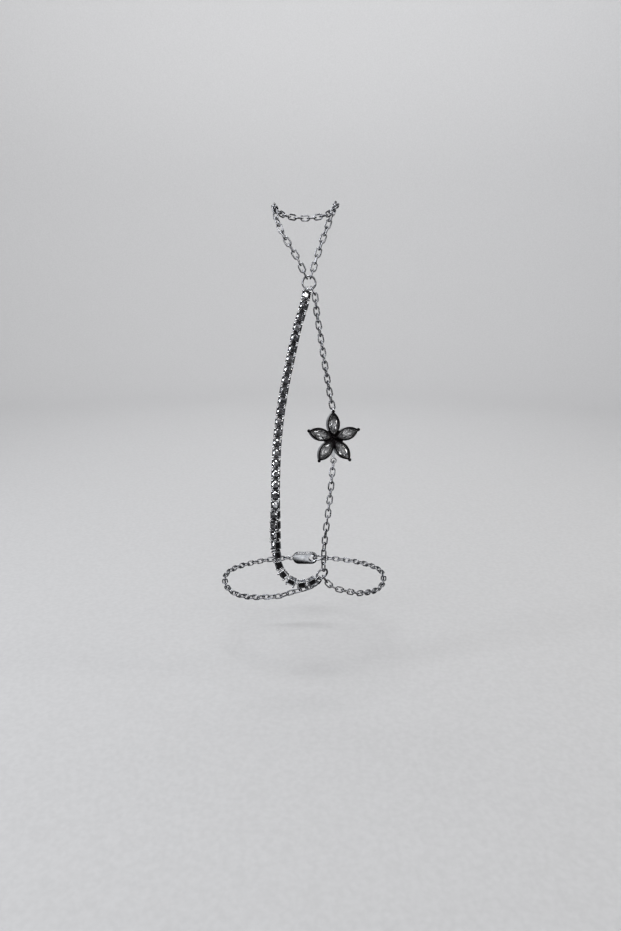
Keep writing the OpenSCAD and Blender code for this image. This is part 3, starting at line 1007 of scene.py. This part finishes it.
    def places(self) -> list[Matrix]:
        """Reads the places of the boxes from the stones of the solids.

        Returns:
            The places, from the upper ring down.
        """
        stones = [self.stone_axes(points) for points in loose_solids("tennis_stones")]
        stones.sort(key=lambda stone: -stone[0].z)
        ordered = [stones.pop(0)]
        while stones:
            here = ordered[-1][0]
            stones.sort(key=lambda stone: (stone[0] - here).length)
            ordered.append(stones.pop(0))
        table_z = self.girdle_z + (self.girdle_share / 2 + self.crown_share) * self.stone_d
        result: list[Matrix] = []
        for i, (table, out, corners) in enumerate(ordered):
            near = ordered[min(i + 1, len(ordered) - 1)][0] - ordered[max(i - 1, 0)][0]
            along = max(corners, key=lambda corner: corner.normalized().dot(near))
            result.append(place(table - out * table_z, along, out))
        return result

    def stones(self, places: Sequence[Matrix]) -> Shape:
        """Makes the round stones, facet for facet, where some facets are painted dark as a painted
        reflection.

        Args:
            places: Places of the boxes.

        Returns:
            All the stones as one shape.
        """
        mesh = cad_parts["tennis_stones"].data
        middles = [matrix @ Vector((0, 0, self.girdle_z)) for matrix in places]
        turns = [matrix.to_3x3().inverted() for matrix in places]
        draw = random.Random(self.seed)
        dark: dict[tuple[float, ...], bool] = {}
        shape = Shape(points=[tuple(vertex.co / MM) for vertex in mesh.vertices])
        for facet in mesh.polygons:
            middle = facet.center / MM
            box = min(range(len(places)), key=lambda i: (middles[i] - middle).length)
            way = turns[box] @ facet.normal
            share = self.dark_below if way.z < 0 else self.dark_above
            if way.z > self.table_cos:
                share = 0.0
            # A facet may be cut into several faces, which all look alike
            key = (box, *(round(c, 2) for c in way))
            if key not in dark:
                dark[key] = draw.random() < share
            shape.faces.append(tuple(facet.vertices))
            shape.tones.append(Finish.PAINTED_DARK_FACET if dark[key] else None)
        return shape

    def build(self, palette: Palette) -> None:
        """Makes the settings and the stones.

        Args:
            palette: The materials.
        """
        places, box = self.places(), self.box()
        shape = Shape()
        for i, matrix in enumerate(places):
            shape.add(box, matrix)
            if i + 1 < len(places):
                next_bar = places[i + 1] @ Vector((-self.bar_x, 0, self.axis_z))
                pitch = (matrix.inverted() @ next_bar).x + self.bar_x
                # Boxes that face the front get a wide loop of painted shade
                faces_front = -(matrix.to_3x3() @ Vector((0, 0, 1))).y > self.bend_from
                width = self.loop_w if faces_front else self.bend_loop_w
                shape.add(self.link_loop(pitch, width), matrix)
        shape.add(self.end_eye(-1, 90), places[0])
        shape.add(self.end_eye(1, 0), places[-1])
        stand_for(shape, "tennis_settings", [Finish.METAL, Finish.PAINTED_SHADE], palette)
        stone_finishes = [Finish.ROUND_STONE, Finish.PAINTED_DARK_FACET]
        stand_for(self.stones(places), "tennis_stones", stone_finishes, palette, self.stone_smooth)
        LOG.info("%d boxes placed", len(places))


@dataclass
class Flower:
    """The flower: five petal cups with tip balls, a hub and two eyes. Sizes in millimetres."""

    at: Point = (8.1, -14.5, 49.8)
    turn: float = 13.0
    lean: float = 12.0
    roll: float = -1.2
    petals: int = 5
    petal_l: float = 6.2
    petal_w: float = 3.0
    petal_start: float = 1.2
    wall: float = 0.42
    depth: float = 2.2
    bevel: float = 0.08
    # The rim's outer half: in from the cup's outside, and over its depth
    outer_rim: tuple[tuple[float, float], ...] = ((0.0, -0.22), (0.05, -0.08), (0.14, -0.01), (0.252, 0.02))
    # The rim's inner half: out from the cup's opening, and over its depth
    inner_rim: tuple[tuple[float, float], ...] = (
        (0.02, 0.0), (-0.02, -0.05), (-0.05, -0.12), (-0.03, -0.2), (0.0, -0.28),
    )
    girdle_drop: float = 0.5
    ledge: float = 0.3
    ledge_drop: float = 0.9
    ledge_slope: float = 0.05
    tip_d: float = 1.0
    ball_out: float = 0.1
    ball_up: float = 0.1
    ball_flat: float = 0.02
    hub_r: float = 2.9
    # The plate between two petals: its start, bevel, underside, and its top and ridge below the rim
    web_start: float = 0.02
    # Its second row lies this share of the way to a petal's inner point
    web_second: float = 0.6
    web_bevel: float = 0.08
    web_low: float = 0.3
    web_drop: float = 0.42
    ridge_drop: float = 0.1
    web_steps: int = 60
    eye_wire: float = 0.45
    eye_d: float = 2.0
    lower_eye_in: float = 1.4
    # The lower eye's tab: half its width at the eye and at the hub, and how far it reaches under the hub
    tab_tip: float = 0.3
    tab_foot: float = 1.0
    tab_bite: float = 0.1
    chain_wire: float = 0.44
    play: float = 0.1
    # Facets whose cosine to the flower's front is below this are silvered, with the foil this far off
    foil_below: float = -0.2
    foil_gap: float = 0.03
    smooth_below: float = 40.0

    @property
    def middle(self) -> float:
        """Distance from the flower's middle to a petal's middle."""
        return self.petal_start + self.petal_l / 2

    @property
    def arc_r(self) -> float:
        """Radius of the two arcs that make a petal's opening."""
        return ((self.petal_l / 2) ** 2 + (self.petal_w / 2) ** 2) / self.petal_w

    @property
    def arc_off(self) -> float:
        """Distance from a petal's middle line to the middles of its two arcs."""
        return self.arc_r - self.petal_w / 2

    @property
    def tip(self) -> float:
        """Distance from the flower's middle to the outer point of a petal."""
        return self.middle + math.sqrt((self.arc_r + self.wall) ** 2 - self.arc_off ** 2)

    @property
    def front(self) -> Vector:
        """The way that the flower faces."""
        return self.matrix().to_3x3() @ Vector((0, 0, 1))

    def matrix(self) -> Matrix:
        """Where the flower is, with its front towards Z and its upper petal along Y."""
        return Matrix.Translation(self.at) @ faced(self.turn, self.lean) @ rotated(self.roll, "Z")

    def petal_angle(self, k: int) -> float:
        """The way that a petal points, in degrees."""
        return 90 + 360 / self.petals * k

    def outline(self, grow: float, half: int = 28) -> Flat:
        """Draws a petal's outline about its own middle.

        Args:
            grow: How far it lies outside the petal's opening.
            half: Points along each of its two arcs.

        Returns:
            The outline.
        """
        radius = self.arc_r + grow
        reach = math.degrees(math.acos(self.arc_off / radius))
        upper = arc((0, -self.arc_off), radius, 90 - reach, 90 + reach, half)
        lower = arc((0, self.arc_off), radius, 270 - reach, 270 + reach, half)
        return upper[:-1] + lower[:-1]

    def cup(self) -> Shape:
        """Makes one petal's cup about its own middle: a rounded rim, a ledge and an open back.

        Returns:
            The cup, silvered inside.
        """
        ledge_z = self.depth - self.girdle_drop - self.ledge_drop
        # Growth of the petal's outline, and height
        rows = [(self.wall - self.bevel, 0.0), (self.wall, self.bevel)]
        rows += [(self.wall - inset, self.depth + rise) for inset, rise in self.outer_rim]
        rows += [(grow, self.depth + rise) for grow, rise in self.inner_rim]
        rows += [(0.0, ledge_z), (-self.ledge, ledge_z - self.ledge_slope), (-self.ledge, 0.0)]
        silvered = [Finish.FOIL] * 3
        tones = [None] * (len(rows) - len(silvered) - 1) + silvered + [None]
        return loft([level(self.outline(grow), z) for grow, z in rows], closed=True, tones=tones)

    def tip_ball(self) -> Shape:
        """Makes the ball at a petal's tip.

        Returns:
            The ball, flat at its two ends.
        """
        r, steps = self.tip_d / 2, 12
        angles = [math.pi * k / steps for k in range(1, steps)]
        rows = [(-r * math.cos(a), r * math.sin(a)) for a in angles]
        rows = [(-r, self.ball_flat), *rows, (r, self.ball_flat)]
        return loft([level(circle(radius, count=24), z) for z, radius in rows])

    def web(self, k: int) -> Shape:
        """Makes the plate between two petals, with a low ridge from the flower's middle to its edge.

        Args:
            k: The number of the first of the two petals, counted from 0.

        Returns:
            The plate.
        """
        first, last = math.radians(self.petal_angle(k)), math.radians(self.petal_angle(k + 1))
        side = [(self.middle - x, y) for x, y in self.outline(self.wall / 2, self.web_steps)[:self.web_steps]]
        side = [(x, y) for x, y in side if x > 0 and math.hypot(x, y) < self.hub_r]
        side = [(self.web_start, 0.0), (side[0][0] * self.web_second, 0.0)] + side
        rows: list[Loop] = []
        for i, (x, y) in enumerate(side):
            share = i / (len(side) - 1)
            bevel = self.web_bevel if share == 1 else 0.0
            left, right = spun(x, y, first), spun(x, -y, last)
            mid = spun(self.web_start + (self.hub_r - self.web_start) * share, 0, (first + last) / 2)
            low, high = self.web_low + bevel, self.depth - self.web_drop - bevel
            ridge = self.depth - self.ridge_drop - bevel
            rows.append([
                (*left, high), (*left, low), (*mid, low), (*right, low), (*right, high), (*mid, ridge),
            ])
        return loft(rows)

    def eyes(self) -> Shape:
        """Makes the eye on edge above the flower, and the flat one below with its tab.

        Returns:
            Both eyes and the tab.
        """
        upper = self.tip + self.chain_wire / 2 + self.play + self.eye_wire / 2
        lower = self.lower_eye_in - self.tip
        ring = torus(self.eye_d, self.eye_wire, around=56, section=14)
        shape = ring.moved(Matrix.Translation((0, upper, self.eye_d / 2)) @ rotated(90, "Y"))
        shape.add(ring, Matrix.Translation((0, lower, self.eye_wire)))
        tip_y, foot_y = lower + (self.eye_d - self.eye_wire) / 2, self.tab_bite - self.hub_r
        tab = [
            (-self.tab_foot, foot_y), (-self.tab_tip, tip_y), (self.tab_tip, tip_y), (self.tab_foot, foot_y),
        ]
        return shape.add(loft([level(tab, z) for z in (self.eye_wire * 0.5, self.eye_wire * 1.5)]))

    def foil(self, stone: bpy.types.Object) -> Shape:
        """Makes the mirror foil on the back of a stone, a hair's breadth off its facets.

        Args:
            stone: The stone's CAD node.

        Returns:
            The foil.
        """
        shape, front = Shape(), self.front
        corners = stone.data.vertices
        for facet in stone.data.polygons:
            if facet.normal.dot(front) < self.foil_below:
                start = len(shape.points)
                shape.points += [tuple(corners[i].co / MM - front * self.foil_gap) for i in facet.vertices]
                shape.faces.append(tuple(range(start, len(shape.points))))
        return shape

    def build(self, palette: Palette) -> None:
        """Makes the setting and dresses the five stones.

        Args:
            palette: The materials.
        """
        matrix, cup, ball = self.matrix(), self.cup(), self.tip_ball()
        cup_at = Matrix.Translation((self.middle, 0, 0))
        ball_z = self.depth - self.tip_d / 2 + self.ball_up
        ball_at = Matrix.Translation((self.tip + self.ball_out, 0, ball_z))
        shape = Shape()
        for k in range(self.petals):
            stone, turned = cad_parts[f"petal_stone_{k + 1}"], matrix @ rotated(self.petal_angle(k), "Z")
            shape.add(self.foil(stone), tone=Finish.FOIL)
            shape.add(cup, turned @ cup_at)
            shape.add(ball, turned @ ball_at)
            shape.add(self.web(k), matrix)
            dress(stone, [Finish.PETAL_STONE], palette)
            LOG.info("%s: dressed", stone.name)
        shape.add(self.eyes(), matrix, Finish.METAL)
        finishes = [Finish.FLOWER, Finish.METAL, Finish.FOIL]
        stand_for(shape, "flower_setting", finishes, palette, self.smooth_below)


@dataclass
class Clasp:
    """The plain clasp plate with an eye and a hole. Sizes in millimetres."""

    at: Point = (-0.5, 21.2, -3.4)
    length: float = 9.0
    width: float = 4.4
    thick: float = 1.6
    hole: float = 2.3
    hole_ease: float = 0.1
    rim: float = 0.8
    eye_d: float = 2.0
    eye_wire: float = 0.45
    ease: float = 0.22
    # The rounded edge has its middle row this share of the ease in from both faces
    ease_share: float = 0.3
    # Radius by which the round ends fall short of half circles, so that no two points of theirs meet
    end_flat: float = 0.001

    def plate(self) -> Shape:
        """Makes the plate: its outline runs round both ends, and its hole lies at the right end.

        Returns:
            The plate, lying flat.
        """
        half, soft, bevel = self.thick / 2, self.ease * self.ease_share, self.hole_ease
        hole_x = self.length / 2 - self.rim - self.hole / 2
        # Inset of the plate's outline, and height
        outside = (
            (self.ease, -half), (soft, soft - half), (0, self.ease - half),
            (0, half - self.ease), (soft, half - soft), (self.ease, half),
        )
        # Growth of the hole's radius, and height
        inside = ((bevel, half), (0, half - bevel), (0, bevel - half), (bevel, -half))

        def outline(inset: float) -> Flat:
            """The plate's outline, drawn in by an amount."""
            half_y = self.width / 2 - inset
            return rounded_outline(self.length / 2 - inset, half_y, half_y - self.end_flat, steps=14, edge=3)

        loops = [level(outline(inset), z) for inset, z in outside]
        loops += [level(opposite(outline(0), hole_x, self.hole / 2 + grow), z) for grow, z in inside]
        return loft(loops, closed=True)

    def build(self, palette: Palette) -> None:
        """Makes the clasp.

        Args:
            palette: The materials.
        """
        upright = Matrix.Translation(self.at) @ rotated(90, "X")
        # Three quarters of the eye's wire lie in the plate's end
        eye_x = -self.length / 2 - (self.eye_d - self.eye_wire) / 2 + self.eye_wire / 4
        shape = self.plate().moved(upright)
        shape.add(torus(self.eye_d, self.eye_wire), upright @ Matrix.Translation((eye_x, 0, 0)))
        stand_for(shape, "clasp", [Finish.METAL], palette)


# Stage, lights and camera


@dataclass(frozen=True)
class SoftLight:
    """A soft rectangular light: its middle, its two sides and the point that it faces in millimetres."""

    name: str
    at: Point
    size: tuple[float, float]
    watts: float
    colour: str = "#FFFFFF"
    aim: Point = (0, 0, 55)

    def build(self) -> None:
        """Adds the light."""
        light = bpy.data.lights.new(self.name, "AREA")
        light.shape = "RECTANGLE"
        light.size, light.size_y = self.size[0] * MM, self.size[1] * MM
        light.energy = self.watts
        light.color = linear(self.colour)[:3]
        lamp = bpy.data.objects.new(self.name, light)
        lamp.location = Vector(self.at) * MM
        lamp.rotation_euler = (Vector(self.aim) - Vector(self.at)).to_track_quat("-Z", "Y").to_euler()
        lamp.visible_camera = False
        bpy.context.scene.collection.objects.link(lamp)


@dataclass
class Studio:
    """A round pale floor that sweeps up into its wall, soft lights and the camera. Sizes in millimetres."""

    floor_z: float = -26.0
    floor_rings: tuple[float, ...] = (0.5, 40, 120, 240, 380)
    floor_r: float = 520.0
    sweep_r: float = 260.0
    wall_top: float = 620.0
    sides: int = 96
    floor_smooth: float = 60.0
    lights: tuple[SoftLight, ...] = (
        SoftLight("top_softbox", (-60, -60, 560), (240, 220), 0.95),
        SoftLight("front_softbox", (110, -470, 330), (260, 160), 0.5),
        SoftLight("left_card", (-300, -420, 230), (200, 260), 0.4),
        SoftLight("left_strip", (-420, -160, 200), (80, 420), 1.0, "#F7FAFF"),
        SoftLight("right_strip", (430, -60, 240), (70, 360), 0.55, "#FFFCF6"),
        SoftLight("wall_light", (0, 260, 600), (560, 160), 2.5, aim=(0, 760, 120)),
    )
    camera_at: Point = (1.5, -219.54, 96.35)
    camera_down: float = 15.0
    lens: float = 27.07
    # Nearest and farthest distance that the camera sees, in metres
    clip: tuple[float, float] = (0.005, 20.0)

    def floor(self) -> None:
        """Makes the floor and its wall."""
        rows: Flat = [(r, 0.0) for r in self.floor_rings]
        rows += arc((self.floor_r, self.sweep_r), self.sweep_r, -90, 0, steps=12)
        rows.append((self.floor_r + self.sweep_r, self.wall_top))
        shape = loft([level(circle(r, self.sides), self.floor_z + z) for r, z in rows], caps=False)
        shape.faces.append(tuple(range(self.sides)))
        sweep = shape.mesh_object("studio_floor", smooth_below=self.floor_smooth)
        sweep.data.materials.append(MattPaper().build())
        # The metal and the stones mirror the darker surround instead of the paper, as they do between cards
        sweep.visible_glossy = False
        sweep.visible_transmission = False

    def surround(self) -> None:
        """Makes the dim surround, with the windows and cards that the metal and the stones mirror."""
        world = bpy.data.worlds.new("surround")
        world.use_nodes = True
        add = partial(add_node, world.node_tree)
        way = add("TexCoord", {}).outputs["Generated"]
        axes = add("SeparateXYZ", {}, {0: way}).outputs
        height, side, front = [
            add("MapRange", {"From Min": low, "From Max": high}, {"Value": axes[axis]})
            for axis, low, high in (("Z", -1.0, 1.0), ("X", -1.0, 1.0), ("Y", -0.8, -0.93))
        ]
        # Each band's name, its direction, and the places and colours of its stops
        bands = {
            "rows": (height, [
                (0.0, "#0C0C0D"), (0.46, "#161718"), (0.5, "#4A4B4E"), (0.545, "#161718"), (0.57, "#E8EAEC"),
                (0.7, "#E8EAEC"), (0.73, "#161718"), (0.84, "#161718"), (0.9, "#94969A"), (1.0, "#A8AAAD"),
            ]),
            "columns": (side, [
                (0.0, "#B4B6BA"), (0.24, "#FFFFFF"), (0.27, "#2A2B2D"), (0.39, "#2A2B2D"), (0.42, "#FFFFFF"),
                (0.56, "#FFFFFF"), (0.59, "#2A2B2D"), (0.71, "#2A2B2D"), (0.74, "#FFFFFF"), (1.0, "#85878A"),
            ]),
            "shelves": (height, [
                (0.22, "#0C0C0D"), (0.28, "#E0E2E5"), (0.45, "#E0E2E5"), (0.48, "#161718"),
                (0.56, "#161718"), (0.58, "#F4F5F7"), (0.7, "#F4F5F7"), (0.73, "#161718"),
            ]),
            "posts": (side, [
                (0.26, "#1C1D1F"), (0.3, "#FFFFFF"), (0.5, "#FFFFFF"),
                (0.53, "#1C1D1F"), (0.66, "#1C1D1F"), (0.7, "#FFFFFF"),
            ]),
        }
        tones = {
            name: add("ValToRGB", {"stops": stops}, {"Fac": source.outputs["Result"]})
            for name, (source, stops) in bands.items()
        }
        windows, card = [
            add(
                "Mix", {"data_type": "RGBA", "blend_type": "MULTIPLY", 0: 1.0},
                {6: tones[across].outputs["Color"], 7: tones[upright].outputs["Color"]},
            )
            for across, upright in (("rows", "columns"), ("shelves", "posts"))
        ]
        all_round = add(
            "Mix", {"data_type": "RGBA"},
            {0: front.outputs["Result"], 6: windows.outputs[2], 7: card.outputs[2]},
        )
        background = world.node_tree.nodes["Background"]
        background.inputs["Strength"].default_value = 1.0
        world.node_tree.links.new(all_round.outputs[2], background.inputs["Color"])
        bpy.context.scene.world = world
        bpy.context.scene.view_settings.view_transform = "Standard"

    def camera(self) -> None:
        """Adds the camera at the photograph's viewing angle."""
        data = bpy.data.cameras.new("front_camera")
        data.lens = self.lens
        data.clip_start, data.clip_end = self.clip
        camera = bpy.data.objects.new("front_camera", data)
        camera.location = Vector(self.camera_at) * MM
        camera.rotation_euler = (math.radians(90 - self.camera_down), 0, 0)
        bpy.context.scene.collection.objects.link(camera)
        bpy.context.scene.camera = camera

    def build(self) -> None:
        """Makes the whole studio."""
        self.floor()
        for light in self.lights:
            light.build()
        self.surround()
        self.camera()
        LOG.info("studio: floor, lights and camera")


def main() -> None:
    """Builds the bracelet and its studio."""
    logging.basicConfig(level=logging.INFO, format="%(message)s")
    flower = Flower()
    # Dark stone for the facets that are painted dark, a painted reflection of the dark surround
    painted_dark_facet = CubicZirconia(name="cubic_zirconia_painted_dark", body="#55555A", shade="#2A2A2D", glint=0.75)
    petal_stone = CubicZirconia(
        name="cubic_zirconia_petals", body="#F1F1F3", shade="#E6E6E9", clear=0.95, glint=0.0
    )
    palette: Palette = {
        Finish.METAL: RhodiumPlate().build(),
        Finish.FLOWER: BlackRuthenium(front=tuple(flower.front)).build(),
        Finish.ROUND_STONE: CubicZirconia().build(),
        Finish.PAINTED_DARK_FACET: painted_dark_facet.build(),
        Finish.PETAL_STONE: petal_stone.build(),
        Finish.PAINTED_SHADE: PaintedShade().build(),
        Finish.FOIL: SilverFoil().build(),
    }
    Studio().build()
    # Chains and rings get a darker copy of the plate, painted shade for their darker look, and their corners'
    # painted shade reaches further than on the cast pieces
    shaded_chain_plate = RhodiumPlate(name="rhodium_plate_chain_shaded", bright="#B9BABE", dull="#8E8F94", corner_mm=0.28)
    chain_palette = {**palette, Finish.METAL: shaded_chain_plate.build()}
    CableChains().build(chain_palette)
    JumpRings().build(chain_palette)
    StoneChain().build(palette)
    flower.build(palette)
    Clasp().build(palette)
    bpy.context.view_layer.update()


if __name__ == "__main__":
    main()
